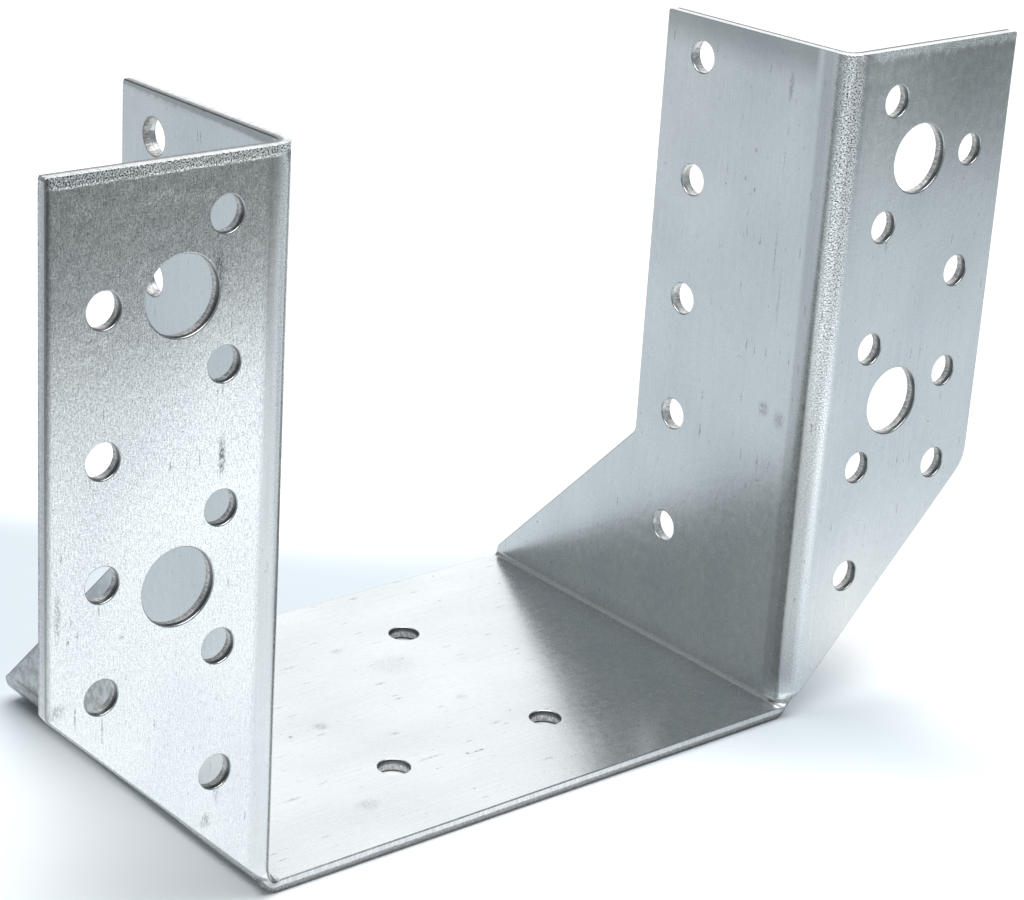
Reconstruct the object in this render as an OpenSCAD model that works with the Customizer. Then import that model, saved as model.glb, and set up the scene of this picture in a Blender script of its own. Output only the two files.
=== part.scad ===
// Beam hanger: one zinc coated steel sheet, punched flat and then folded.
// A seat plate carries the end of the beam, two side plates hold it between
// them, and two flanges turn outwards to lie flat against the carrying timber.
// Millimetres, +Z up, +X across the seat, +Y away from the carrying timber.
// The origin is on the underside, at the middle of the outline in plan.

/* [Sheet] */
// Thickness of the sheet
sheet_t = 2; // [1.5:0.1:2.5]
// Inside radius of the upright folds between side plates and flanges
flange_fold_r = 1.5; // [1:0.1:2.5]
// Inside radius of the folds between the seat and the side plates
seat_fold_r = 0.8; // [0.4:0.1:1.4]

/* [Seat plate] */
// Clear width between the side plates, where the beam sits
seat_w = 100; // [80:1:140]
// Depth of the seat plate from its front edge to its rear edge
seat_d = 73; // [66:0.5:85]
// Distance of the front edge of the seat behind the flange faces
seat_set_back = 0.5; // [0.2:0.1:1.5]

/* [Side plates] */
// Height of the hanger from its underside to its top edges
height = 110; // [106:1:130]
// Depth of the upper part of a side plate, from the flange face to its rear edge
plate_d = 39.5; // [37:0.5:46]
// Height at which the sloping rear edge of a side plate meets the seat
rear_toe_h = 3.6; // [3.4:0.1:6]
// Fillet in the rear edge of a side plate, where the slope begins
rear_fillet_r = 2.5; // [1:0.5:5]

/* [Flanges] */
// Width of a flange, from the inner face of its side plate to its outer edge
flange_w = 37.5; // [36:0.5:42]
// Height of the line of a flange's sloping lower edge, at the side plate
flange_foot_h = 0.3; // [0:0.1:2]
// Radius of the lower outer corner of the right flange
corner_r_right = 6; // [1:0.5:8]
// Radius of the lower outer corner of the left flange
corner_r_left = 1; // [1:0.5:8]

/* [Nail holes] */
// Diameter of the nail holes
nail_d = 5; // [4:0.1:5.5]
// Distance between the rows of nail holes
nail_pitch = 20; // [18:0.5:20]
// Top edge to the first row in the inner column of a flange
inner_top = 8.2; // [6:0.1:10]
// Height of the lowest hole in the inner column of a flange
inner_low_z = 22.9; // [20:0.1:24]
// Inner face of the side plate to the inner column of a flange
inner_col = 11.3; // [10.5:0.1:11.5]
// Inner face of the side plate to the outer column of a flange
outer_col = 29.4; // [28.5:0.1:30.5]
// Top edge to the first row in the outer column of a flange
outer_top = 18; // [16:0.5:18]
// Flange face to the column of nail holes in a side plate
plate_col = 31.4; // [25:0.1:32]
// Top edge to the first row in a side plate
plate_top = 7.1; // [5:0.1:8]
// Distance across the seat between its nail holes
seat_hole_x = 30.4; // [20:0.2:60]
// Flange face to the front pair of nail holes in the seat
seat_hole_y = 18.7; // [12:0.1:24]
// Distance between the front and the rear pair of nail holes in the seat
seat_hole_dy = 37; // [20:0.5:38]

/* [Bolt holes] */
// Diameter of the bolt holes in the flanges
bolt_d = 11; // [9:0.1:11.5]
// Inner face of the side plate to the bolt holes of a flange
bolt_col = 17.8; // [17:0.1:18.5]
// Top edge to the upper bolt hole
bolt_top = 18; // [17:0.5:19]
// Distance between the upper and the lower bolt hole
bolt_pitch = 40; // [39:0.5:41]

/* [Hidden] */
$fn = 96;
hw = seat_w / 2;                       // inner face of a side plate
ro = flange_fold_r + sheet_t;          // outside radius of the upright folds
so = seat_fold_r + sheet_t;            // outside radius of the seat folds
seat_back = seat_set_back + seat_d;    // rear edge of the seat
rear_kink_z = rear_toe_h + seat_back - plate_d;   // the rear slope is at 45 degrees
flange_kink_z = flange_w + flange_foot_h;         // and so is each flange's lower edge
outer_steps = [0, 20, 37, 53];         // rows of the outer column, below the first
inner_rows = [for (k = [0:3]) height - inner_top - k * nail_pitch];
outer_rows = [for (s = outer_steps) height - outer_top - s];
plate_rows = [for (k = [0:4]) height - plate_top - k * nail_pitch];
bolt_rows = [height - bolt_top, height - bolt_top - bolt_pitch];
e = 1;                                 // overshoot of cutting shapes

// The sheet seen from the front: seat, two seat folds and two side plates in one run
module channel_section() {
    difference() {
        union() {
            translate([-hw - sheet_t, so]) square([seat_w + 2 * sheet_t, height - so]);
            translate([-hw + seat_fold_r, 0]) square([seat_w - 2 * seat_fold_r, so + e]);
            for (s = [-1, 1]) translate([s * (hw - seat_fold_r), so]) circle(r = so);
        }
        translate([-hw, so]) square([seat_w, height]);
        translate([-hw + seat_fold_r, sheet_t]) square([seat_w - 2 * seat_fold_r, so]);
        for (s = [-1, 1]) translate([s * (hw - seat_fold_r), so]) circle(r = seat_fold_r);
    }
}

// Fillet points in the hollow corner of the rear edge, from the slope to the upright
function rear_fillet() =
    let (r = rear_fillet_r, cy = plate_d + r, cz = rear_kink_z + r * tan(22.5))
    [for (k = [0:6]) let (a = 225 - k * 7.5) [cy + r * cos(a), cz + r * sin(a)]];

// The same sheet seen from the side: upright edges above, sloping back to the seat
module side_outline() {
    polygon(concat([[seat_set_back, 0], [seat_back, 0], [seat_back, rear_toe_h]],
                   rear_fillet(),
                   [[plate_d, height], [ro, height], [ro, so], [seat_set_back, so]]));
}

// Seat and side plates: the front view run back, trimmed to the side view
module channel() {
    intersection() {
        translate([0, seat_back + e, 0]) rotate([90, 0, 0])
            linear_extrude(height = seat_back + 2 * e) channel_section();
        translate([-hw - sheet_t - e, 0, 0]) rotate([90, 0, 90])
            linear_extrude(height = seat_w + 2 * (sheet_t + e)) side_outline();
    }
}

// A flange and its fold seen from above, with a short run of the side plate behind
module flange_section() {
    translate([ro, 0]) square([flange_w - ro, sheet_t]);
    translate([0, ro]) square([sheet_t, sheet_t]);
    intersection() {
        translate([ro, ro]) difference() {
            circle(r = ro);
            circle(r = flange_fold_r);
        }
        square([ro, ro]);
    }
}

// A flange seen from the front: lower edge at 45 degrees, outer corner rounded to r
module flange_outline(r) {
    c = r * tan(22.5);                 // tangent length of the corner
    difference() {
        polygon([[0, so], [so - flange_foot_h, so], [flange_w, flange_kink_z],
                 [flange_w, height], [0, height]]);
        difference() {
            polygon([[flange_w - c * cos(45), flange_kink_z - c * sin(45)],
                     [flange_w + e, flange_kink_z - e],
                     [flange_w + e, flange_kink_z + c], [flange_w, flange_kink_z + c],
                     [flange_w - r, flange_kink_z + c]]);
            translate([flange_w - r, flange_kink_z + c]) circle(r = r);
        }
    }
}

// One flange with its fold: the view from above, trimmed to the view from the front
module flange(r) {
    intersection() {
        linear_extrude(height = height) flange_section();
        translate([0, ro + sheet_t, 0]) rotate([90, 0, 0])
            linear_extrude(height = ro + sheet_t + e) flange_outline(r);
    }
}

// A round hole through a flange, at x and z
module flange_hole(x, z, d) {
    translate([x, -e, z]) rotate([-90, 0, 0]) cylinder(d = d, h = sheet_t + 2 * e);
}

// Every hole on one side, drawn on the +X side
module wing_holes() {
    for (z = inner_rows) flange_hole(hw + inner_col, z, nail_d);
    flange_hole(hw + inner_col, inner_low_z, nail_d);
    for (z = outer_rows) flange_hole(hw + outer_col, z, nail_d);
    for (z = bolt_rows) flange_hole(hw + bolt_col, z, bolt_d);
    for (z = plate_rows) translate([hw - e, plate_col, z]) rotate([0, 90, 0])
        cylinder(d = nail_d, h = sheet_t + 2 * e);
}

// The four nail holes of the seat
module seat_holes() {
    for (sx = [-1, 1], dy = [0, seat_hole_dy])
        translate([sx * seat_hole_x / 2, seat_hole_y + dy, -e])
            cylinder(d = nail_d, h = sheet_t + 2 * e);
}

module hanger() {
    color([0.70, 0.73, 0.75]) translate([0, -seat_back / 2, 0]) difference() {
        union() {
            channel();
            translate([hw, 0, 0]) flange(corner_r_right);
            mirror([1, 0, 0]) translate([hw, 0, 0]) flange(corner_r_left);
        }
        wing_holes();
        mirror([1, 0, 0]) wing_holes();
        seat_holes();
    }
}

hanger();
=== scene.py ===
import math

import bpy
import numpy as np
from mathutils import Matrix, Vector
from mathutils.geometry import delaunay_2d_cdt


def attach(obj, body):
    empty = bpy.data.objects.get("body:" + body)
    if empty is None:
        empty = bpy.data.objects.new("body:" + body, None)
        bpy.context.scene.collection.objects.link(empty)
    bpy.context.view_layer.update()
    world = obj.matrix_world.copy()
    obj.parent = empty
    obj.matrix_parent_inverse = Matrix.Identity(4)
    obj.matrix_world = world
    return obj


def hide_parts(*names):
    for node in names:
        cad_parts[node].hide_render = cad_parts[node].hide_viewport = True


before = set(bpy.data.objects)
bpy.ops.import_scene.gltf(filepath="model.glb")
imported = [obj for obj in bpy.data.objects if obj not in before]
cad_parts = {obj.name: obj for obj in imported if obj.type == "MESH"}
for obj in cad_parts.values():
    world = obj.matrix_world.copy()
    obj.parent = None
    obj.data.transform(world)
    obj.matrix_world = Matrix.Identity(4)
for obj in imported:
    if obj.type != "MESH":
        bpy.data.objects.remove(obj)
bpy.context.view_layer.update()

scene = bpy.context.scene
MM = 0.001

# ---------------------------------------------------------------- dimensions
# All in millimetres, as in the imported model. y is counted from the flange faces
# here, and moved by Y0 into the shared frame at the end.
Y0 = -36.75
T = 2.0                      # sheet
HW = 50.0                    # half the clear width
H = 110.0                    # height
SI, SM = 0.8, 1.8            # seat folds: inside and mid-sheet radius
A0 = HW - SI                 # blank coordinate where the seat fold starts, 49.2
A1 = A0 + SM * math.pi / 2   # and where it ends, at z = ZS
ZS = SI + T
X_OUT = HW + 37.5
SEAT_F, SEAT_R = 0.5, 73.5   # front and rear edges of the seat
PLATE_R = 39.5               # rear edge of the upper side plate
TOE_Z = 3.6

# The upright folds aren't round: the sheet leans in gently from the side plate,
# is tightest past the middle, and eases out again on the flange. KAPPA is that
# curvature along the sheet, and FX, FY hold the folded line for a fold that is
# only partly closed, from 0 to 1, because the fold dies out at the seat.
UP_L = 7.0
US = np.linspace(0.0, UP_L, 1201)
KAPPA = 1 - np.cos(2 * math.pi * (US / UP_L) ** 1.04)
UTH = np.concatenate([[0], np.cumsum((KAPPA[1:] + KAPPA[:-1]) / 2 * np.diff(US))])
UTH *= math.pi / 2 / UTH[-1]
UK = np.linspace(0.0, 1.0, 61)


def run_up(v):
    return np.concatenate([np.zeros((v.shape[0], 1)), np.cumsum((v[:, 1:] + v[:, :-1]) / 2 * np.diff(US), axis=1)], 1)


FX = run_up(np.sin(UK[:, None] * UTH[None, :]))
FY = run_up(np.cos(UK[:, None] * UTH[None, :]))
XE = HW + T / 2 + FX[-1, -1]          # x where the fold ends on the flange
B1 = T / 2 + FY[-1, -1]               # blank coordinate where the upright fold starts
B0 = B1 - UP_L                        # and where it ends


def table(A, k, s):
    """Value of a table over (UK, US) at k, s, by straight-line interpolation."""
    kk, ss = np.clip(k, 0, 1) * (len(UK) - 1), np.clip(s / UP_L, 0, 1) * (len(US) - 1)
    i, j = np.minimum(kk.astype(int), len(UK) - 2), np.minimum(ss.astype(int), len(US) - 2)
    u, v = kk - i, ss - j
    return (A[i, j] * (1 - u) + A[i + 1, j] * u) * (1 - v) + (A[i, j + 1] * (1 - u) + A[i + 1, j + 1] * u) * v


def za(z):                   # height on a side plate or flange -> blank coordinate
    return z - ZS + A1


def bx(x):                   # x on a flange -> blank coordinate
    return B0 - (x - XE)


# ---------------------------------------------------------------- the blank
# The sheet as it was cut, flat: a runs across the seat and up the side plates,
# b runs from the carrying timber towards the beam. Everything is built on this
# blank, with its thickness, and then folded.
def fillet(pts, radii, step=9.0):
    """Rounded polygon: points and their outward normals. pts run counter-clockwise."""
    out = []
    n = len(pts)
    for i in range(n):
        p, q, r = (np.array(pts[(i + k) % n], float) for k in (-1, 0, 1))
        u, v = (p - q) / np.linalg.norm(p - q), (r - q) / np.linalg.norm(r - q)
        turn = u[0] * v[1] - u[1] * v[0]          # < 0 where the corner is convex
        ang = math.acos(max(-1, min(1, float(u @ v))))
        rad = radii[i]
        cut = rad / math.tan(ang / 2)
        a, b = q + u * cut, q + v * cut
        bis = (u + v) / np.linalg.norm(u + v)
        c = q + bis * rad / math.sin(ang / 2)
        s = 1.0 if turn < 0 else -1.0             # outward normal points away from c on a convex corner
        ta, tb = math.atan2(*(a - c)[::-1]), math.atan2(*(b - c)[::-1])
        d = (tb - ta + math.pi) % (2 * math.pi) - math.pi
        k = max(3, int(abs(math.degrees(d)) / step))
        for j in range(k + 1):
            t = ta + d * j / k
            e = np.array([math.cos(t), math.sin(t)])
            out.append((c + rad * e, s * e))
    return out


def densify(loop):
    """Adds points on the straight runs, closely where the sheet is folded."""
    res = []
    n = len(loop)
    for i in range(n):
        (p, np_), (q, nq) = loop[i], loop[(i + 1) % n]
        res.append((p, np_))
        d = np.linalg.norm(q - p)
        if d < 0.4 or np_ @ nq < 0.9999:
            continue
        pos = 0.0
        while True:
            m = p + (q - p) * pos / d
            fold = (A0 - 0.6 < abs(m[0]) < A1 + 3.2) or (B0 - 0.6 < m[1] < B1 + 0.6 and abs(m[0]) > A0)
            pos += 0.24 if fold else 1.5
            if pos > d - 0.12:
                break
            res.append((p + (q - p) * pos / d, np_))
    return res


# the slit top edge isn't quite level: it falls this far towards the rear of each side plate
DROP_R, DROP_L = ((4.0, 0.15), (40.0, 1.08)), ((4.0, 0.25), (39.5, 0.80))


def half(corner_r, x_out, plate_r, drop, toe_r):
    top, out_b = za(H), bx(x_out)
    pts = [
        ((za(37.8 - (bx(X_OUT) * -1 + SEAT_F)), SEAT_F), 1.1),   # seat's front edge meets the flange's slope, at 45 degrees
        ((za(37.8), out_b), corner_r),                  # flange's lower outer corner
        ((top, out_b), 0.5),
        ((top - drop[0][1], drop[0][0]), 12.0),
        ((top - drop[1][1], plate_r), 0.5),
        ((za(TOE_Z + SEAT_R - plate_r), plate_r), 2.5), # hollow corner of the rear edge
        ((za(TOE_Z), SEAT_R), toe_r),                   # toe at the back of the seat
    ]
    return pts


right, left = half(6.0, X_OUT, PLATE_R + 0.5, DROP_R, 1.6), half(1.2, X_OUT + 0.35, PLATE_R, DROP_L, 3.2)
outline = [p for p, _ in right] + [(-a, b) for (a, b), _ in reversed(left)]
radii = [r for _, r in right] + [r for _, r in reversed(left)]
rim_outer = densify(fillet(outline, radii))

holes = []
rng = np.random.default_rng(5)
for s in (1, -1):
    for z in (101.8, 81.8, 61.8, 41.8, 22.9):
        holes.append((s * za(z), bx(HW + 11.3), 2.5))
    for z in (92, 72, 55, 39):
        holes.append((s * za(z), bx(HW + 29.4), 2.5))
    for z in (92, 52):
        holes.append((s * za(z), bx(HW + 17.8), 5.5))
    for z in (102.9, 82.9, 62.9, 42.9, 22.9):
        holes.append((s * za(z), 31.4, 2.5))
    for b in (18.7, 55.7):
        holes.append((s * 15.2, b, 2.5))


# ---------------------------------------------------------------- folding
def smooth(t):
    t = np.clip(t, 0, 1)
    return t * t * (3 - 2 * t)


def waves(a, b):
    """The sheet isn't dead flat: a few hundredths of a millimetre of long, slow waves."""
    w = 0.022 * np.sin(a * 0.115 + 0.8) * np.sin(b * 0.135 + 0.4)
    w += 0.012 * np.sin(a * 0.205 - b * 0.085 + 2.0)
    w += 0.009 * np.sin(a * 0.061 + b * 0.27 + 4.1)
    return w


def coined(a, b):
    """The strip's slit edge, at the top of the left half, is pressed a little thinner over its last 1.6 mm."""
    top = za(H) - np.interp(b, [0, DROP_L[0][0], DROP_L[1][0]], [0, DROP_L[0][1], DROP_L[1][1]])
    t = np.clip((-a - (top - 1.65)) / 1.65, 0, 1)
    ridge = 0.008 * np.exp(-((-a - (top - 1.42)) / 0.15) ** 2)
    return 1.0 - 0.075 * t ** 1.3 + ridge * (a < 0)


def fold(P):
    """Blank coordinates (a, b, w) -> the folded sheet, in mm. w is +1 on the face and -1 on the back."""
    a, b = np.abs(P[:, 0]), P[:, 1]
    w = P[:, 2] * coined(P[:, 0], P[:, 1]) + waves(P[:, 0], P[:, 1])
    sgn = np.where(P[:, 0] < 0, -1.0, 1.0)
    # the upright fold fades out where it runs into the seat fold
    k = smooth((a - A0) / (A1 + 1.7 - A0))
    s = np.clip(B1 - b, 0, UP_L)
    th = k * np.interp(s, US, UTH)
    end = np.clip(B0 - b, 0, None)
    n = w * np.cos(th) - table(FX, k, s) - end * np.sin(k * math.pi / 2)
    y = np.where(b > B1, b, B1 - table(FY, k, s) - end * np.cos(k * math.pi / 2)) - w * np.sin(th)
    n = np.where(b > B1, w, n)
    y = np.where(b > B1, b, y)
    ph = np.clip((a - A0) / SM, 0, math.pi / 2)
    x = np.where(a < A0, a, A0 + (SM - n) * np.sin(ph))
    z = np.where(a < A0, T / 2 + n, ZS - (SM - n) * np.cos(ph) + np.clip(a - A1, 0, None))
    # the seat fold of the left half is rounder towards the rear
    easy = 1.15 * smooth((P[:, 1] - 8) / 62) * (P[:, 0] < 0) * np.clip(1 - ((a - (A0 + A1) / 2) / 4.6) ** 2, 0, None) ** 1.5
    x, z = x - easy, z + easy
    return np.stack([sgn * x, y + Y0, z], 1)


def fold_normal(P, N):
    """Maps blank normals through the fold, exactly, from its derivative."""
    h = 2e-3
    J = np.stack([(fold(P + h * e) - fold(P - h * e)) / (2 * h) for e in np.eye(3)], 2)
    up = np.where(np.abs(N[:, 2:3]) < 0.9, np.array([[0, 0, 1.0]]), np.array([[1.0, 0, 0]]))
    t1 = np.cross(N, up)
    t1 /= np.linalg.norm(t1, axis=1)[:, None]
    t2 = np.cross(N, t1)
    q1, q2 = np.einsum("nij,nj->ni", J, t1), np.einsum("nij,nj->ni", J, t2)
    m = np.cross(q1, q2)
    m /= np.linalg.norm(m, axis=1)[:, None]
    m *= np.sign(np.einsum("ni,ni->n", m, np.einsum("nij,nj->ni", J, N)))[:, None]
    return m


# ---------------------------------------------------------------- sheared edges
# Profile across a cut edge, from the face (w = 1) to the back (w = -1). d is the
# distance out of the sheet. The tool rolls the face edge over, leaves a bright
# burnished band, and the rest breaks away, a little undercut, down to the burr.
def profile(m, roll, depth, brk, under):
    """Rows across the edge for m points; each row is (d, w, nd, nw, rim, cut), and each may vary from point to point."""
    o = np.ones(m)
    roll, depth, brk, under = (v * o for v in (roll, depth, brk, under))
    inset = np.maximum(roll + 0.04, under + 0.25)      # both flat faces start here
    rows = [(-inset, 1.0 * o, 0 * o, 1.0 * o, 0 * o, 0 * o)]
    for al in (0, 15, 32, 50, 68, 82, 90):
        al = math.radians(al)
        rows.append((-roll * (1 - math.sin(al)), 1 - depth * (1 - math.cos(al)),
                     math.sin(al) / roll, math.cos(al) / depth, math.sin(al) * o, 0 * o))
    rows.append((0 * o, brk + 0.04, o, 0 * o, o, 0 * o))
    slope = (under - 0.02) / (brk + 0.90)
    rows.append((-0.02 * o, brk - 0.04, o, -slope, o, o))
    rows.append((-0.02 * o - 0.5 * (under - 0.02), (brk - 0.90) / 2, o, -slope, o, o))
    rows.append((-under, -0.90 * o, o, -slope, o, o))
    rows.append((-under - 0.10, -1.0 * o, 0.25 * o, -1.0 * o, 0.6 * o, 0.6 * o))
    rows.append((-inset, -1.0 * o, 0 * o, -1.0 * o, 0 * o, 0 * o))
    return rows


def ring_jitter(n, amp, seed, waves_=9):
    g = np.random.default_rng(seed)
    t = np.linspace(0, 2 * math.pi, n, endpoint=False)
    v = np.zeros(n)
    for k in range(1, waves_):
        v += g.normal() / k ** 0.5 * np.sin(k * t + g.uniform(0, 6.28))
    return amp * v / max(1e-6, np.abs(v).max())


verts, norms, attr_rim, attr_cut, attr_edge_shade = [], [], [], [], []
faces = []


def add(P, N, rim, cut, edge_shade=0.0):
    i = len(verts)
    verts.extend(P)
    norms.extend(N)
    attr_rim.extend([rim] * len(P) if np.isscalar(rim) else rim)
    attr_cut.extend([cut] * len(P) if np.isscalar(cut) else cut)
    attr_edge_shade.extend([edge_shade] * len(P) if np.isscalar(edge_shade) else edge_shade)
    return list(range(i, i + len(P)))


rings_face, rings_back, loops_2d = [], [], []


def edge_strip(loop, rows, seed, jit, shade, wall, burr, low=0.0):
    P = np.array([p for p, _ in loop])
    N = np.array([n for _, n in loop])
    m = len(P)
    j = ring_jitter(m, jit, seed, 61 if m > 200 else 9)
    ids = []
    for r, (d, w, nd, nw, rim, cut) in enumerate(rows, -1):
        ww = w + np.where(np.abs(w) < 0.6, j, 0.0)
        Q = np.column_stack([P + N * d[:, None], ww])
        V = np.column_stack([N * nd[:, None], nw])
        V /= np.linalg.norm(V, axis=1)[:, None]
        # painted shade: the tint darkens each cut edge towards near-black, on the roll-over (shade), the hole wall
        # (wall), the burr rows (burr) and the lower torn band (low)
        tint = shade * 4 * rim * (1 - rim) * (r < 5) + wall * {4: 0.6, 5: 1.0, 6: 1.0, 7: 0.75}.get(r, 0.0) + burr * {10: 0.35, 11: 1.0}.get(r, 0.0) + low * {8: 0.50, 9: 0.72, 10: 0.60}.get(r, 0.0)
        ids.append(add(Q, V, list(rim), list(cut), list(np.clip(tint * np.ones(m), 0, 1))))
    for r in range(len(ids) - 1):
        for i in range(m):
            k = (i + 1) % m
            faces.append((ids[r][i], ids[r + 1][i], ids[r + 1][k], ids[r][k]))
    rings_face.append(ids[0])
    rings_back.append(ids[-1])
    loops_2d.append(P + N * rows[0][0][:, None])
    return ids


PR = np.array([p for p, _ in rim_outer])
NR = np.array([n for _, n in rim_outer])
top_edge = smooth((np.abs(NR[:, 0]) - 0.8) / 0.15) * (np.abs(PR[:, 0]) > za(100))
front = smooth((-NR[:, 1] - 0.9) / 0.08) * (np.abs(PR[:, 0]) < A1)
slope = (NR[:, 1] < 0.3) * (1 - front) * (np.abs(PR[:, 0]) < za(38)) * (PR[:, 1] < 2)
brk = -0.20 + np.where(PR[:, 0] < 0, 0.10, -0.10) * top_edge + 0.26 * front + 0.9 * slope
under = 0.16 + 0.10 * front - 0.14 * top_edge
roll = 0.30 - 0.06 * front - 0.22 * top_edge
shade = 1 - top_edge
# painted shade: the lower band of the seat's front edge and of the top edges is darkened
edge_strip(rim_outer, profile(len(PR), roll, 0.22 - 0.14 * top_edge, brk, under), 1, 0.07, 0.6 * shade, 0.0, 0.95, 0.70 * front + np.where(PR[:, 0] < 0, 0.9, 1.3) * top_edge)
# painted shade darkens each hole's roll-over, wall and burr
for i, (a, b, r) in enumerate(holes):
    m = 96 if r > 4 else 64
    t = -np.linspace(0, 2 * math.pi, m, endpoint=False)      # clockwise
    e = np.column_stack([np.cos(t), np.sin(t)])
    edge_strip([(np.array([a, b]) + r * v, -v) for v in e],
               profile(m, 0.26 if r > 4 else 0.22, 0.26, 0.14, 0.13), 10 + i, 0.08, 0.45, 0.15 if abs(b - 31.4) < 0.1 else 1.0, 0.6)

# ---------------------------------------------------------------- faces of the sheet
def inside(poly, pts):
    x, y = pts[:, 0], pts[:, 1]
    c = np.zeros(len(pts), bool)
    j = len(poly) - 1
    for i in range(len(poly)):
        xi, yi, xj, yj = *poly[i], *poly[j]
        hit = (yi > y) != (yj > y)
        if abs(yj - yi) > 1e-12:
            c ^= hit & (x < (xj - xi) * (y - yi) / (yj - yi) + xi)
        j = i
    return c


def grid(a0, a1, da, b0, b1, db):
    na, nb = max(1, round((a1 - a0) / da)), max(1, round((b1 - b0) / db))
    A, B = np.meshgrid(np.linspace(a0, a1, na + 1), np.linspace(b0, b1, nb + 1), indexing="ij")
    return np.column_stack([A.ravel(), B.ravel()])


# Rubbed and scratched places on the face of the sheet: (a, b, half length along a, half length along b, strength)
DARK = [
    (99.7, 10.9, 1.3, 1.1, 0.30), (152.0, 11.6, 2.3, 0.5, 0.30), (139.8, 11.6, 2.8, 0.12, 0.28),
    (134.0, 17.4, 0.55, 0.2, 0.5), (135.5, 19.6, 0.4, 0.25, 0.35), (140.4, 17.8, 0.5, 0.2, 0.35),
    (125.8, 11.6, 4.5, 0.16, 0.26), (118.1, 9.9, 5.0, 0.14, 0.24), (91.4, 24.7, 1.3, 0.2, 0.42),
    (90.2, 11.2, 1.6, 0.13, 0.4), (97.5, 24.8, 0.9, 0.2, 0.3), (85.7, 13.2, 0.6, 0.22, 0.35),
    (98.9, 7.4, 1.6, 1.2, 0.22), (-143.7, -9.3, 3.6, 0.9, 0.42), (-118.3, -8.2, 3.0, 0.55, 0.42),
    (-111.6, -9.4, 1.6, 0.6, 0.40), (-65.0, -9.5, 1.2, 1.0, 0.25), (-86.6, -30.2, 2.2, 0.14, 0.34),
    (-83.4, -26.1, 2.0, 0.12, 0.34), (-97.3, -31.3, 0.5, 0.25, 0.35), (-98.1, -29.9, 0.5, 0.25, 0.35),
    (-96.2, -23.2, 0.3, 0.3, 0.35), (-100.8, -26.7, 0.9, 0.14, 0.3), (-101.2, -32.9, 4.0, 0.5, 0.22),
    (-87.8, -32.9, 1.2, 1.5, 0.20), (-16.7, 35.7, 1.3, 1.2, 0.24), (-22.8, 35.2, 0.38, 0.42, 0.5),
    (0.4, 42.7, 1.2, 0.3, 0.30), (-0.4, 36.8, 1.0, 0.3, 0.26), (-8.6, 18.0, 2.4, 0.22, 0.32),
    (-3.0, 15.9, 0.35, 0.35, 0.55), (-0.9, 15.7, 1.6, 0.25, 0.42), (-8.4, 27.4, 0.9, 0.4, 0.3),
    (16.5, 71.6, 0.9, 0.3, 0.35), (7.4, 21.7, 1.0, 0.3, 0.26), (8.6, 31.8, 1.2, 1.0, 0.14),
    (-34.2, 18.7, 1.6, 0.3, 0.26), (3.6, 30.8, 0.6, 0.25, 0.32), (6.5, 7.7, 1.3, 0.25, 0.24),
    (-25.7, 11.3, 2.2, 1.6, 0.14), (-9.1, 55.3, 1.6, 0.3, 0.22), (6.6, 47.1, 4.5, 3.2, 0.10),
    (1.5, 56.2, 1.1, 0.8, 0.20), (-70.3, -7.9, 3.0, 0.5, 0.25), (128.0, -9.2, 1.2, 0.4, 0.22),
    (154.6, -27.0, 1.6, 0.14, 0.28), (-52.0, 40.0, 3.0, 2.0, 0.10), (30.0, 25.0, 2.6, 0.2, 0.2),
]
LIGHT = [
    (-144.9, -20.9, 1.6, 0.8, 0.22), (-154.3, -29.3, 1.2, 2.2, 0.30), (-154.5, -17.9, 1.3, 3.4, 0.34),
    (-154.1, -11.4, 1.0, 2.6, 0.26), (-156.1, -22.7, 1.3, 0.6, 0.30), (-146.6, -31.0, 1.0, 0.8, 0.24),
    (-137.0, -26.0, 1.6, 1.0, 0.16),
]


def mark_value(table_, a, b):
    v = np.zeros(len(a))
    for ma, mb, la, lb, k in table_:
        k = min(0.75, k * ((1.7 if ma < -60 else 1.35) if table_ is DARK else 1.0))
        d = np.hypot((a - ma) / la, (b - mb) / lb)
        v = np.maximum(v, k * smooth((1.3 - d) / 0.95))
    return v


parts = [grid(-A0 + 3, A0 - 3, 3, 2.5, 71.5, 3)]                   # seat
for ma, mb, la, lb, _ in DARK + LIGHT:                              # and closely around each mark
    na, nb = (int(min(11, max(7, 2 * q / 0.3))) | 1 for q in (la, lb))
    parts.append(grid(ma - 1.35 * la, ma + 1.35 * la, 2.7 * la / na, mb - 1.35 * lb, mb + 1.35 * lb, 2.7 * lb / nb))
for s in (1, -1):
    g = []
    g.append(grid(A0, A1, SM * math.pi / 24, 0.9, 73.1, 1.9))           # seat fold
    g.append(grid(A1 + 0.25, A1 + 2.2, 0.3, B0, B1, (B1 - B0) / 20))     # where the two folds meet
    g.append(grid(A1 + 2.5, za(106.9), 1.9, B0, B1, (B1 - B0) / 20))     # upright fold
    g.append(grid(A1 + 2.5, za(106.5), 3, B1 + 2.4, 71, 3))            # side plate
    g.append(grid(A1 + 4, za(106.5), 3, bx(X_OUT) + 1.6, B0 - 2.2, 3))   # flange
    g.append(grid(za(H) - 2.9, za(H) - 0.6, 0.33, bx(X_OUT) + 0.8, 38.6, 2.2))   # pressed top edge
    g = np.vstack(g)
    g[:, 0] *= s
    parts.append(g)
inner = np.vstack(parts)
outer_poly = loops_2d[0]
# keep the points that are well inside the blank and clear of the holes
keep = inside(outer_poly, inner)
near = np.full(len(inner), 1e9)
for k in range(0, len(outer_poly), 1):
    near = np.minimum(near, np.hypot(*(inner - outer_poly[k]).T))
keep &= near > 0.22
for a, b, r in holes:
    keep &= np.hypot(inner[:, 0] - a, inner[:, 1] - b) > r + 1.0
inner = inner[keep]

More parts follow.
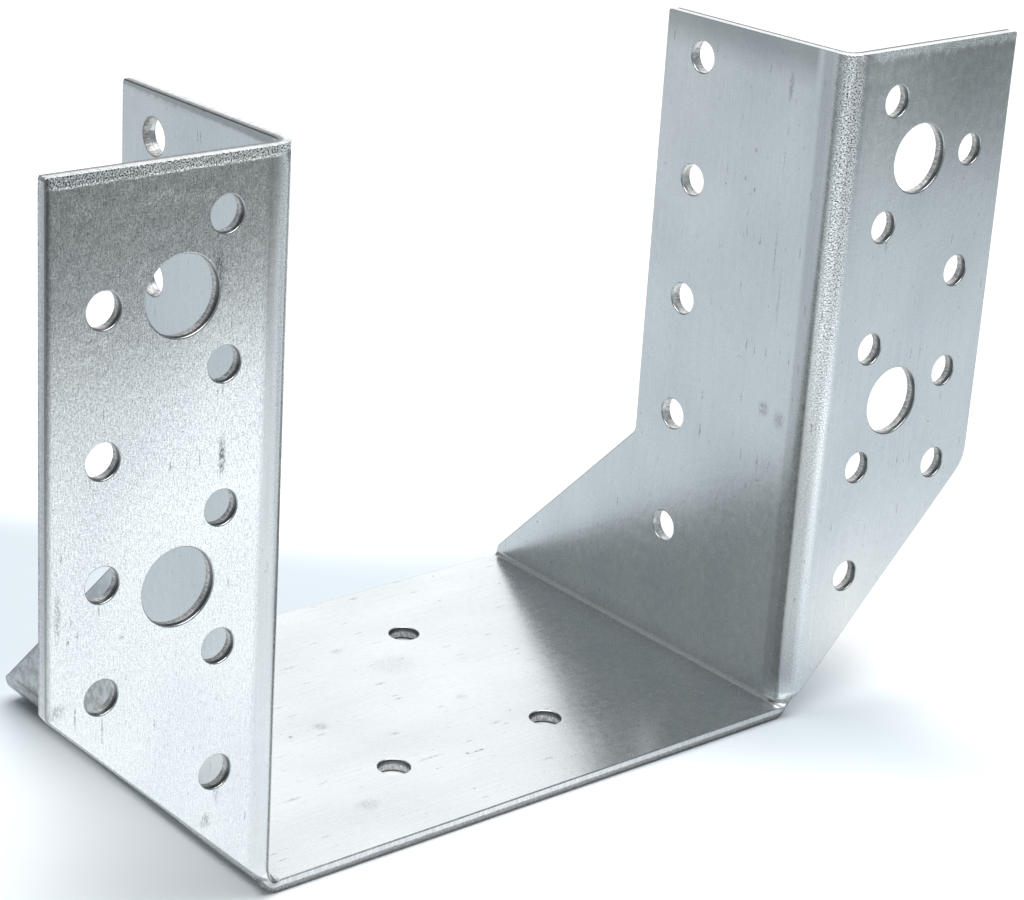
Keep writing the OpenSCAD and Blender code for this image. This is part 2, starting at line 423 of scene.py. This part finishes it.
ring_pts = np.vstack(loops_2d)
ring_ids = [i for ring in rings_face for i in ring]
back_ids = [i for ring in rings_back for i in ring]
cons = []
o = 0
for lp in loops_2d:
    m = len(lp)
    cons += [(o + i, o + (i + 1) % m) for i in range(m)]
    o += m
pts2 = np.vstack([ring_pts, inner]).astype(np.float32).astype(float)      # as the triangulation sees them
res = delaunay_2d_cdt([Vector(p) for p in pts2.tolist()], cons, [], 0, 1e-7, True)
out_v, out_f, orig = res[0], res[2], res[3]
if len(out_v) != len(pts2):
    print("triangulation changed the points:", len(out_v), len(pts2))
src = [ids[0] if ids else -1 for ids in orig]
tri = np.array([[src[i] for i in f] for f in out_f])
cen = pts2[tri].mean(1)
ok = inside(pts2[:len(outer_poly)], cen)
for a, b, r in holes:
    ok &= np.hypot(cen[:, 0] - a, cen[:, 1] - b) > r + 0.38 - 0.003
tri = tri[ok]
q = pts2[tri]
area = (q[:, 1, 0] - q[:, 0, 0]) * (q[:, 2, 1] - q[:, 0, 1]) - (q[:, 1, 1] - q[:, 0, 1]) * (q[:, 2, 0] - q[:, 0, 0])
tri = np.where(area[:, None] < 0, tri[:, ::-1], tri)
n_in = len(inner)
top_in = add(np.column_stack([inner, np.ones(n_in)]), np.tile([0, 0, 1.0], (n_in, 1)), 0.0, 0.0)
low_in = add(np.column_stack([inner, -np.ones(n_in)]), np.tile([0, 0, -1.0], (n_in, 1)), 0.0, 0.0)
to_top, to_low = ring_ids + top_in, back_ids + low_in
for a, b, c in tri.tolist():
    faces.append((to_top[a], to_top[b], to_top[c]))
    faces.append((to_low[c], to_low[b], to_low[a]))

P = np.array(verts, float)
N = np.array(norms, float)
pos = fold(P)
nor = fold_normal(P, N)
mesh = bpy.data.meshes.new("hanger_sheet")
mesh.from_pydata((pos * MM).tolist(), [], faces)
mesh.update()
mesh.polygons.foreach_set("use_smooth", [True] * len(mesh.polygons))
# all faces must agree with the analytic normals
fn = np.zeros(len(mesh.polygons) * 3)
mesh.polygons.foreach_get("normal", fn)
fn = fn.reshape(-1, 3)
vn = np.array([nor[list(f)].mean(0) for f in faces])
bad = int(((fn * vn).sum(1) < 0).sum())
print("faces", len(faces), "against their normal", bad)
mesh.normals_split_custom_set_from_vertices(nor.tolist())
for name, data in (("rim", attr_rim), ("cut", attr_cut), ("edge_shade", attr_edge_shade)):
    at = mesh.attributes.new(name, "FLOAT", "POINT")
    at.data.foreach_set("value", np.array(data, np.float32))
at = mesh.attributes.new("blank", "FLOAT_VECTOR", "POINT")
at.data.foreach_set("vector", P.astype(np.float32).ravel())
# how strongly the zinc was stretched by each fold
aa, bb = np.abs(P[:, 0]), P[:, 1]
up_fold = smooth((bb - (B0 + 1.1)) / 0.9) * smooth(((B1 - 2.3) - bb) / 1.3) * (aa > A0 + 1.0)
low_fold = smooth((aa - (A0 - 0.4)) / 0.8) * smooth(((A1 + 0.4) - aa) / 0.8)
on_face = (P[:, 2] > 0.5)
mark_dark = mark_value(DARK, P[:, 0], P[:, 1]) * on_face
mark_light = mark_value(LIGHT, P[:, 0], P[:, 1]) * on_face
for name, data in (("up_fold", up_fold), ("low_fold", low_fold), ("mark_dark", mark_dark), ("mark_light", mark_light)):
    at = mesh.attributes.new(name, "FLOAT", "POINT")
    at.data.foreach_set("value", data.astype(np.float32))

sheet = bpy.data.objects.new("hanger_sheet", mesh)
scene.collection.objects.link(sheet)
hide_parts("hanger")
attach(sheet, "root")


# ---------------------------------------------------------------- material
class Graph:
    """Short names for the shader nodes used below. Sockets go in, sockets come out."""

    def __init__(self, name):
        self.mat = bpy.data.materials.new(name)
        self.mat.use_nodes = True
        self.t = self.mat.node_tree
        self.t.nodes.clear()
        out = self.t.nodes.new("ShaderNodeOutputMaterial")
        self.bsdf = self.t.nodes.new("ShaderNodeBsdfPrincipled")
        self.t.links.new(self.bsdf.outputs["BSDF"], out.inputs["Surface"])

    def put(self, socket, v):
        if isinstance(v, bpy.types.NodeSocket):
            self.t.links.new(v, socket)
        elif v is not None:
            socket.default_value = v

    def attr(self, name, out="Fac"):
        n = self.t.nodes.new("ShaderNodeAttribute")
        n.attribute_name = name
        return n.outputs[out]

    def m(self, op, a, b=None, c=None, clamp=False):
        n = self.t.nodes.new("ShaderNodeMath")
        n.operation, n.use_clamp = op, clamp
        for k, v in enumerate((a, b, c)):
            self.put(n.inputs[k], v)
        return n.outputs[0]

    def v(self, op, a, b=None, out="Vector"):
        n = self.t.nodes.new("ShaderNodeVectorMath")
        n.operation = op
        self.put(n.inputs[0], a)
        self.put(n.inputs[1], b)
        return n.outputs[out]

    def xyz(self, vec):
        n = self.t.nodes.new("ShaderNodeSeparateXYZ")
        self.put(n.inputs[0], vec)
        return n.outputs

    def step(self, x, a, b, lo=0.0, hi=1.0):
        """Smooth step of x from a to b, to values lo to hi."""
        n = self.t.nodes.new("ShaderNodeMapRange")
        n.interpolation_type = "SMOOTHSTEP"
        for name, val in (("Value", x), ("From Min", a), ("From Max", b), ("To Min", lo), ("To Max", hi)):
            self.put(n.inputs[name], val)
        return n.outputs["Result"]

    def noise(self, vec, scale=1.0, detail=0.0, rough=0.5, warp=0.0, dims="2D"):
        n = self.t.nodes.new("ShaderNodeTexNoise")
        n.noise_dimensions = dims
        self.put(n.inputs["Vector"], vec)
        for name, val in (("Scale", scale), ("Detail", detail), ("Roughness", rough), ("Distortion", warp)):
            n.inputs[name].default_value = val
        return n.outputs["Fac"]

    def cells(self, vec, scale=1.0, rand=1.0):
        n = self.t.nodes.new("ShaderNodeTexVoronoi")
        n.voronoi_dimensions = "2D"
        self.put(n.inputs["Vector"], vec)
        n.inputs["Scale"].default_value = scale
        n.inputs["Randomness"].default_value = rand
        return n.outputs["Distance"], n.outputs["Color"]

    def mix(self, f, a, b):
        n = self.t.nodes.new("ShaderNodeMix")
        n.data_type = "RGBA"
        self.put(n.inputs[0], f)
        self.put(n.inputs[6], a)
        self.put(n.inputs[7], b)
        return n.outputs[2]


z = Graph("zinc_coated_steel")
blank = z.attr("blank", "Vector")                 # millimetres on the flat blank: (a, b, w)
rim, cut = z.attr("rim"), z.attr("cut")
upf, lowf = z.attr("up_fold"), z.attr("low_fold")
ax = z.xyz(blank)
a_abs = z.m("ABSOLUTE", ax[0])


def at(sa, sb, sw=1.0, shift=0.0):
    return z.v("ADD", z.v("MULTIPLY", blank, (sa, sb, sw)), (shift, shift * 0.7, shift * 1.3))


# the coil's rolling direction runs along a: long fine streaks and short grain
streak = z.noise(at(0.07, 5.2, 1, 3), detail=1, rough=0.6)
speck = z.noise(at(2.3, 2.9, 1, 23), detail=2, rough=0.7)
flower = z.noise(at(0.55, 0.75, 1, 31), detail=2, rough=0.6)
cloud = z.noise(at(0.045, 0.075, 1, 47), detail=1, rough=0.5)

# the pressed edge along the top of the left half
face = z.step(ax[2], -0.2, 0.4)
back = z.m("SUBTRACT", 1.0, face)
fine = z.noise(at(4.6, 5.0, 1, 131), detail=1, rough=0.55)
brush = z.noise(at(0.9, 6.5, 1, 151), detail=1, rough=0.6)
band_all = z.step(z.m("ADD", ax[0], z.m("MULTIPLY", z.m("SUBTRACT", flower, 0.5), 0.5)), -(za(H) - 1.75), -(za(H) - 1.25))
band = z.m("MULTIPLY", band_all, face)
# the same, much fainter and ragged, at the top of the right flange
rag = z.m("ADD", ax[0], z.m("MULTIPLY", z.m("SUBTRACT", flower, 0.5), 1.6))
band_r = z.m("MULTIPLY", z.step(rag, za(H) - 2.0, za(H) - 0.4), z.m("MULTIPLY", z.step(ax[1], B0 + 0.2, B0 - 1.2), face))
# the zinc cracks finely where it is bent: most at the top, where the fold was pressed hardest
high = z.step(z.m("ADD", a_abs, z.m("MULTIPLY", z.m("SUBTRACT", cloud, 0.5), 20.0)), A1 + 30.0, A1 + 92.0)
right_half = z.step(ax[0], -1.0, 1.0)
crack = z.m("MULTIPLY", upf, z.m("MULTIPLY", z.m("ADD", 0.14, z.m("MULTIPLY", high, 0.86)), z.m("ADD", 0.25, z.m("MULTIPLY", right_half, 0.75))))
rough_area = z.m("MAXIMUM", z.m("MAXIMUM", crack, z.m("MULTIPLY", lowf, 0.25)), z.m("MAXIMUM", z.m("MULTIPLY", band, 0.95), z.m("MULTIPLY", band_r, 0.5)))

broken = z.step(z.noise(at(1.5, 3.6, 1, 77), detail=2, rough=0.7), 0.40, 0.56, 0.15, 1.0)
dark = z.m("MULTIPLY", z.attr("mark_dark"), broken)
light = z.m("MULTIPLY", z.attr("mark_light"), z.step(z.noise(at(1.3, 1.5, 1, 91), detail=3, rough=0.8), 0.42, 0.60, 0.0, 1.0))

# handling scratches: short dashes along the rolling direction, and a few pits, scattered
d1, c1 = z.cells(at(0.11, 0.95, 1, 5))
r1 = z.xyz(c1)
dash = z.m("MULTIPLY", z.step(d1, 0.13, 0.05), z.step(r1[0], 0.90, 0.96, 0.0, 1.0))
d2, c2 = z.cells(at(0.30, 1.7, 1, 15))
r2 = z.xyz(c2)
dash2 = z.m("MULTIPLY", z.step(d2, 0.16, 0.06), z.step(r2[0], 0.92, 0.98, 0.0, 0.8))
d3, c3 = z.cells(at(0.20, 0.23, 1, 25))
r3 = z.xyz(c3)
pit = z.m("MULTIPLY", z.step(d3, 0.055, 0.03), z.step(r3[1], 0.95, 0.98, 0.0, 0.9))
scr = z.m("MULTIPLY", z.m("MAXIMUM", dash, dash2), z.step(speck, 0.36, 0.54))
scr = z.m("MAXIMUM", scr, pit)
flat = z.m("SUBTRACT", 1.0, rim, clamp=True)
scr = z.m("MULTIPLY", scr, flat)

# the left flange was rubbed more than the rest
worn = z.m("MULTIPLY", z.step(ax[0], -(A1 + 2), -(A1 + 5)), z.step(ax[1], B0 + 0.6, B0 - 0.6))
worn = z.m("MULTIPLY", worn, z.m("ADD", 0.35, z.m("MULTIPLY", z.step(ax[0], -(A1 + 15), -(A1 + 75)), 0.65)))
grit = z.m("ADD", 0.24, z.m("MULTIPLY", worn, 1.9))

# colour
tone = z.m("ADD", 1.0, z.m("MULTIPLY", z.m("MULTIPLY", z.m("SUBTRACT", speck, 0.5), 0.22), grit))
tone = z.m("ADD", tone, z.m("MULTIPLY", z.m("MULTIPLY", z.m("SUBTRACT", fine, 0.5), 0.55), grit))
tone = z.m("ADD", tone, z.m("MULTIPLY", z.m("MULTIPLY", z.m("SUBTRACT", brush, 0.5), 0.34), grit))
tone = z.m("ADD", tone, z.m("MULTIPLY", z.m("SUBTRACT", streak, 0.5), 0.13))
tone = z.m("ADD", tone, z.m("MULTIPLY", z.m("SUBTRACT", flower, 0.5), 0.10))
tone = z.m("ADD", tone, z.m("MULTIPLY", z.m("SUBTRACT", cloud, 0.5), 0.16))
tone = z.m("ADD", tone, z.m("MULTIPLY", z.m("MULTIPLY", z.m("SUBTRACT", fine, 0.5), rough_area), 4.2))
# the pressed bands are lighter than the sheet, and painted light makes the left one lighter still towards its fold
tone = z.m("MULTIPLY", tone, z.m("ADD", 1.0, z.m("ADD", z.m("MULTIPLY", band, z.step(ax[1], -36.0, -4.0, 0.02, 0.26)), z.m("MULTIPLY", band_r, 0.34))))
# painted shade darkens the colour along each fold: a soft band where the right fold leaves its side
# plate and over the first half of that fold, and a broader one along the lower part of the left fold
start = z.m("MULTIPLY", z.step(ax[1], B1 + 0.7, B1 - 0.2), z.step(ax[1], B1 - 2.6, B1 - 1.2))
first = z.m("MULTIPLY", z.step(ax[1], B1 - 0.9, B1 - 1.9), z.step(ax[1], B1 - 5.0, B1 - 3.7))
low = z.step(a_abs, A1 + 78.0, A1 + 38.0)
fold_r = z.m("MAXIMUM", z.m("MULTIPLY", start, 0.20), z.m("MULTIPLY", first, z.m("ADD", 0.10, z.m("MULTIPLY", low, 0.32))))
fold_l = z.m("MULTIPLY", z.m("MULTIPLY", z.step(ax[1], B0 - 0.9, B0 + 0.3), z.step(ax[1], B1 - 1.5, B1 - 2.5)), z.step(a_abs, A1 + 22.0, A1 + 45.0, 0.10, 0.21))
fold_shade = z.m("ADD", z.m("MULTIPLY", fold_r, right_half), z.m("MULTIPLY", fold_l, z.m("SUBTRACT", 1.0, right_half)))
fold_shade = z.m("MULTIPLY", z.m("MULTIPLY", fold_shade, face), z.step(a_abs, A1 + 0.5, A1 + 5.0))
tone = z.m("MULTIPLY", tone, z.m("SUBTRACT", 1.0, fold_shade))
tone = z.m("MULTIPLY", tone, z.m("ADD", 1.0, z.m("MULTIPLY", crack, 0.30)))
# painted shade also darkens the seat folds, the pinched ends of the upright folds and the front of the seat
pinch = z.m("MULTIPLY", z.m("MULTIPLY", z.step(a_abs, A0 + 0.8, A0 + 1.3), z.step(a_abs, A0 + 2.3, A0 + 1.8)), z.step(ax[1], 4.1, 2.8))
above = z.m("MULTIPLY", z.m("MULTIPLY", z.step(a_abs, A0 + 2.0, A0 + 2.5), z.step(a_abs, A1 + 1.4, A1 + 0.7)), z.step(ax[1], 5.2, 3.8))
seat_front_shade = z.m("MULTIPLY", z.m("MULTIPLY", z.step(ax[1], 34.0, 2.0), z.step(a_abs, A0 + 0.4, A0 - 0.4)), 0.01)
bend_shade = z.m("MAXIMUM", z.m("MAXIMUM", z.m("MULTIPLY", lowf, 0.18), z.m("MULTIPLY", pinch, 0.78)), seat_front_shade)
tone = z.m("MULTIPLY", tone, z.m("SUBTRACT", 1.0, z.m("MULTIPLY", bend_shade, face)))
# painted highlight: the seat fold is lighter just above each pinched end, at the front
tone = z.m("MULTIPLY", tone, z.m("ADD", 1.0, z.m("MULTIPLY", above, 0.35)))
# painted shade: the right side plate's colour darkens towards its top edge
fade = z.m("MULTIPLY", z.step(ax[0], za(H) - 8.0, za(H) - 1.0), z.step(ax[1], B1 + 0.5, B1 + 2.0))
tone = z.m("MULTIPLY", tone, z.m("SUBTRACT", 1.0, z.m("MULTIPLY", z.m("MULTIPLY", fade, face), 0.36)))
# painted shade: both flanges darken too, over a longer way
on_flange = z.m("MULTIPLY", z.step(ax[1], B0 + 1.2, B0 - 0.4), face)
upper = z.m("MULTIPLY", on_flange, z.step(a_abs, za(78.0), za(108.0)))
tone = z.m("MULTIPLY", tone, z.m("SUBTRACT", 1.0, z.m("MULTIPLY", upper, z.m("ADD", 0.17, z.m("MULTIPLY", right_half, 0.04)))))
# painted highlight: the top of the right flange is lighter beside its fold
near_fold = z.m("MULTIPLY", z.m("MULTIPLY", upper, right_half), z.step(ax[1], -24.0, -5.0))
tone = z.m("MULTIPLY", tone, z.m("ADD", 1.0, z.m("MULTIPLY", near_fold, 0.45)))
# painted light: the left flange is lighter beside its fold; painted shade makes a dark, broken strip along its outer
# edge
fold_side_light = z.m("MULTIPLY", z.m("MULTIPLY", z.step(ax[1], -26.0, -6.0), z.step(ax[0], -za(50.0), -za(66.0))), z.step(ax[0], -za(98.0), -za(84.0)))
tone = z.m("MULTIPLY", tone, z.m("ADD", 1.0, z.m("MULTIPLY", z.m("MULTIPLY", fold_side_light, on_flange), 0.20)))
outer_edge_shade = z.m("MULTIPLY", z.step(ax[1], bx(X_OUT + 0.35) + 1.15, bx(X_OUT + 0.35) + 0.25), z.step(ax[0], 0.0, -5.0))
outer_edge_shade = z.m("MULTIPLY", z.m("MULTIPLY", outer_edge_shade, face), z.m("MULTIPLY", z.step(fine, 0.30, 0.62, 0.55, 1.0), z.step(a_abs, za(30.0), za(90.0), 0.42, 0.78)))
tone = z.m("MULTIPLY", tone, z.m("SUBTRACT", 1.0, outer_edge_shade))
# outside of the left side plate: the pressed edge is duller, and painted shade darkens the toe, mottled
toe_shade = z.m("MULTIPLY", z.step(ax[1], 36.0, 44.0), z.step(ax[0], -(A1 + 40.0), -(A1 + 20.0)))
toe_shade = z.m("MULTIPLY", toe_shade, z.step(flower, 0.36, 0.60, 0.70, 1.25))
dull_edge_and_toe_shade = z.m("MULTIPLY", back, z.m("MAXIMUM", z.m("MULTIPLY", band_all, 0.34), z.m("MULTIPLY", toe_shade, 0.40)))
tone = z.m("MULTIPLY", tone, z.m("SUBTRACT", 1.0, dull_edge_and_toe_shade))
tone = z.m("MULTIPLY", tone, z.m("SUBTRACT", 1.0, z.m("MULTIPLY", scr, 0.42)))
tone = z.m("MULTIPLY", tone, z.m("SUBTRACT", 1.0, dark))
tone = z.m("MULTIPLY", tone, z.m("ADD", 1.0, light))
tn = z.t.nodes.new("ShaderNodeCombineXYZ")
z.put(tn.inputs[0], tone)
z.put(tn.inputs[1], tone)
# painted shade: the darkened tops of the flanges are also a little less blue
z.put(tn.inputs[2], z.m("MULTIPLY", tone, z.m("SUBTRACT", 1.0, z.m("MULTIPLY", upper, 0.035))))
zinc_col = z.v("MULTIPLY", z.mix(z.step(cloud, 0.35, 0.65), (0.612, 0.635, 0.644, 1), (0.620, 0.640, 0.641, 1)), tn.outputs[0])
# sheared edges: smeared zinc on the burnished part, grey torn steel below it
tear = z.noise(at(5.5, 5.5, 0.9, 101), detail=2, rough=0.7, dims="3D")
torn_col = z.mix(z.step(tear, 0.36, 0.64), (0.345, 0.34, 0.337, 1), (0.71, 0.70, 0.69, 1))
sm_col = z.mix(z.step(tear, 0.34, 0.66), (0.49, 0.50, 0.51, 1), (0.69, 0.70, 0.70, 1))
col = z.mix(z.m("MULTIPLY", rim, 0.75), zinc_col, sm_col)
col = z.mix(cut, col, torn_col)
# painted shade: the edge tint pulls the cut edges towards near-black
col = z.mix(z.m("MULTIPLY", z.attr("edge_shade"), 0.94), col, (0.050, 0.052, 0.055, 1))
z.put(z.bsdf.inputs["Base Color"], col)
z.bsdf.inputs["Metallic"].default_value = 1.0

# roughness
ro = z.m("ADD", 0.25, z.m("MULTIPLY", z.m("SUBTRACT", flower, 0.5), 0.10))
ro = z.m("ADD", ro, z.m("MULTIPLY", z.m("SUBTRACT", speck, 0.5), 0.10))
ro = z.m("ADD", ro, z.m("MULTIPLY", z.m("MAXIMUM", scr, dark), 0.22))
ro = z.m("ADD", ro, z.m("MULTIPLY", rough_area, 0.03))
ro = z.m("ADD", ro, z.m("MULTIPLY", rim, 0.05))
ro = z.m("ADD", ro, z.m("MULTIPLY", cut, 0.20))
z.put(z.bsdf.inputs["Roughness"], ro)

# relief, in millimetres
h = z.m("MULTIPLY", streak, 0.0035)
h = z.m("ADD", h, z.m("MULTIPLY", z.m("MULTIPLY", speck, 0.0035), grit))
h = z.m("ADD", h, z.m("MULTIPLY", flower, 0.0110))
h = z.m("ADD", h, z.m("MULTIPLY", fine, z.m("MULTIPLY", rough_area, 0.038)))
h = z.m("ADD", h, z.m("MULTIPLY", speck, z.m("ADD", z.m("MULTIPLY", rough_area, 0.03), z.m("MULTIPLY", cut, 0.06))))
# faint line pressed by the die where each upright fold meets its flange
line = z.m("MULTIPLY", z.step(z.m("ABSOLUTE", z.m("SUBTRACT", ax[1], B0 + 0.1)), 0.32, 0.0), z.step(a_abs, A1 + 1, A1 + 5))
h = z.m("SUBTRACT", h, z.m("MULTIPLY", line, z.m("ADD", 0.005, z.m("MULTIPLY", z.m("MULTIPLY", right_half, z.step(a_abs, za(80), za(40))), 0.013))))
bump = z.t.nodes.new("ShaderNodeBump")
bump.inputs["Strength"].default_value = 1.0
bump.inputs["Distance"].default_value = MM
z.put(bump.inputs["Height"], h)
z.t.links.new(bump.outputs["Normal"], z.bsdf.inputs["Normal"])
mesh.materials.append(z.mat)

# ---------------------------------------------------------------- floor
# painted light and shade levels for the floor colour: lit pool, middle, far front, far left, behind and beside
FLOOR_NEAR, FLOOR_MID, FLOOR_FAR, FLOOR_SIDE, FLOOR_BACK = 0.89, 0.565, 0.15, 0.35, 0.84
f = Graph("floor_paper_painted_light")
f.bsdf.inputs["Roughness"].default_value = 0.9
f.bsdf.inputs["Specular IOR Level"].default_value = 0.0
# Painted light: the paper's colour is brightest just in front of the hanger's left half and falls off
# smoothly away from it, a pool of light painted as under one window-like lamp. px, py are in mm from the
# middle of the flange faces.
fc = f.t.nodes.new("ShaderNodeTexCoord")
fx = f.xyz(f.v("MULTIPLY", fc.outputs["Object"], (1000, 1000, 1000)))
px, py = fx[0], f.m("SUBTRACT", fx[1], Y0)
lit = f.m("MULTIPLY", f.step(f.m("ADD", px, f.m("MULTIPLY", py, 0.9)), 54.0, -6.0), f.step(py, 90.0, 40.0))
lit = f.m("MULTIPLY", lit, f.step(px, -190.0, -150.0))
floor_light_paint = f.m("ADD", FLOOR_MID, f.m("MULTIPLY", lit, FLOOR_NEAR - FLOOR_MID))
# painted shade: the paper is darker in a broad band in front of the hanger, beyond about 230 mm
bow = f.m("MULTIPLY", f.m("POWER", f.m("DIVIDE", f.m("SUBTRACT", 230.0, f.m("MINIMUM", f.m("MAXIMUM", px, -60.0), 300.0)), 207.0), 1.5), 44.0)
front_dist = f.m("SUBTRACT", f.m("SUBTRACT", py, bow), -231.0)
away = f.step(front_dist, -9.0, 9.0)
away = f.m("MAXIMUM", away, f.step(py, -520.0, -760.0))
away = f.m("MAXIMUM", away, f.step(px, 500.0, 760.0))
away = f.m("MAXIMUM", away, f.step(px, 0.0, -60.0, 0.0, 0.8))
floor_light_paint = f.m("ADD", FLOOR_FAR, f.m("MULTIPLY", away, f.m("SUBTRACT", floor_light_paint, FLOOR_FAR)))
# painted shade: darker paper far to the left, in front of the flange faces
side = f.m("MAXIMUM", f.step(px, -220.0, -160.0), f.step(py, 0.0, 80.0))
floor_light_paint = f.m("ADD", FLOOR_SIDE, f.m("MULTIPLY", side, f.m("SUBTRACT", floor_light_paint, FLOOR_SIDE)))
# painted light: lighter paper behind and beside the hanger
rear = f.m("MULTIPLY", f.step(f.m("ADD", py, f.m("MULTIPLY", px, 1.148)), 108.0, 150.0), f.step(py, 60.0, 110.0))
beside = f.m("MULTIPLY", f.step(px, 55.0, 90.0), f.step(py, -60.0, -15.0))
clear = f.m("MAXIMUM", rear, beside)
floor_light_paint = f.m("ADD", floor_light_paint, f.m("MULTIPLY", clear, FLOOR_BACK - FLOOR_MID))
# painted shade: the paper is 5 % darker behind the hanger's left half
behind_left_shade = f.m("MULTIPLY", f.step(px, 35.0, -15.0), f.step(py, 25.0, 60.0))
floor_light_paint = f.m("MULTIPLY", floor_light_paint, f.m("SUBTRACT", 1.0, f.m("MULTIPLY", behind_left_shade, 0.05)))
# painted light: the paper's colour is a little cooler away from the lamp, where the painted light is weaker
neutral = f.m("MAXIMUM", f.m("MULTIPLY", lit, 0.55), clear)
paper = f.t.nodes.new("ShaderNodeCombineXYZ")
for k, tint in enumerate((0.915, 0.985, 1.045)):
    tinted = f.m("ADD", tint, f.m("MULTIPLY", neutral, 1.0 - tint))
    f.put(paper.inputs[k], f.m("MULTIPLY", floor_light_paint, tinted))
f.put(f.bsdf.inputs["Base Color"], paper.outputs[0])
fmesh = bpy.data.meshes.new("floor")
S = 4.0
fmesh.from_pydata([(-S, -S, -0.0002), (S, -S, -0.0002), (S, S, -0.0002), (-S, S, -0.0002)], [], [(0, 1, 2, 3)])
fmesh.materials.append(f.mat)
floor = bpy.data.objects.new("floor", fmesh)
scene.collection.objects.link(floor)

# ---------------------------------------------------------------- light
world = bpy.data.worlds.new("studio")
world.use_nodes = True
world.node_tree.nodes["Background"].inputs["Color"].default_value = (0.345, 0.375, 0.390, 1)
world.node_tree.nodes["Background"].inputs["Strength"].default_value = 1.0
scene.world = world


def panel(name, loc, target, size_x, size_y, radiance):
    """A soft box: an area light whose own face has the given brightness."""
    d = bpy.data.lights.new(name, "AREA")
    d.shape = "RECTANGLE"
    d.size, d.size_y = size_x, size_y
    d.energy = radiance * size_x * size_y * math.pi
    ob = bpy.data.objects.new(name, d)
    ob.location = loc
    v = Vector(target) - Vector(loc)
    ob.rotation_euler = v.to_track_quat("-Z", "Y").to_euler()
    scene.collection.objects.link(ob)
    return ob


panel("softbox_back_right", (0.85, 0.95, 0.55), (0.0, 0.0, 0.05), 1.5, 1.0, 1.08)
panel("softbox_top", (0.0, -0.15, 1.25), (0.0, -0.05, 0.0), 1.2, 1.2, 5.5)

# ---------------------------------------------------------------- camera
cd = bpy.data.cameras.new("camera")
cam = bpy.data.objects.new("camera", cd)
scene.collection.objects.link(cam)
cd.sensor_fit = "HORIZONTAL"
cd.sensor_width = 36.0
cd.lens = 100.01
cd.clip_start, cd.clip_end = 0.01, 50
right_v = Vector((0.768747, -0.63679, 0.059383))
up_v = Vector((0.190115, 0.316187, 0.929453))
back_v = Vector((-0.610643, -0.703224, 0.364131))
M = Matrix((right_v, up_v, back_v)).transposed().to_4x4()
M.translation = Vector((-0.25778, -0.32017, 0.2065))
cam.matrix_world = M
scene.camera = cam

scene.view_settings.view_transform = "Standard"
scene.view_settings.look = "None"
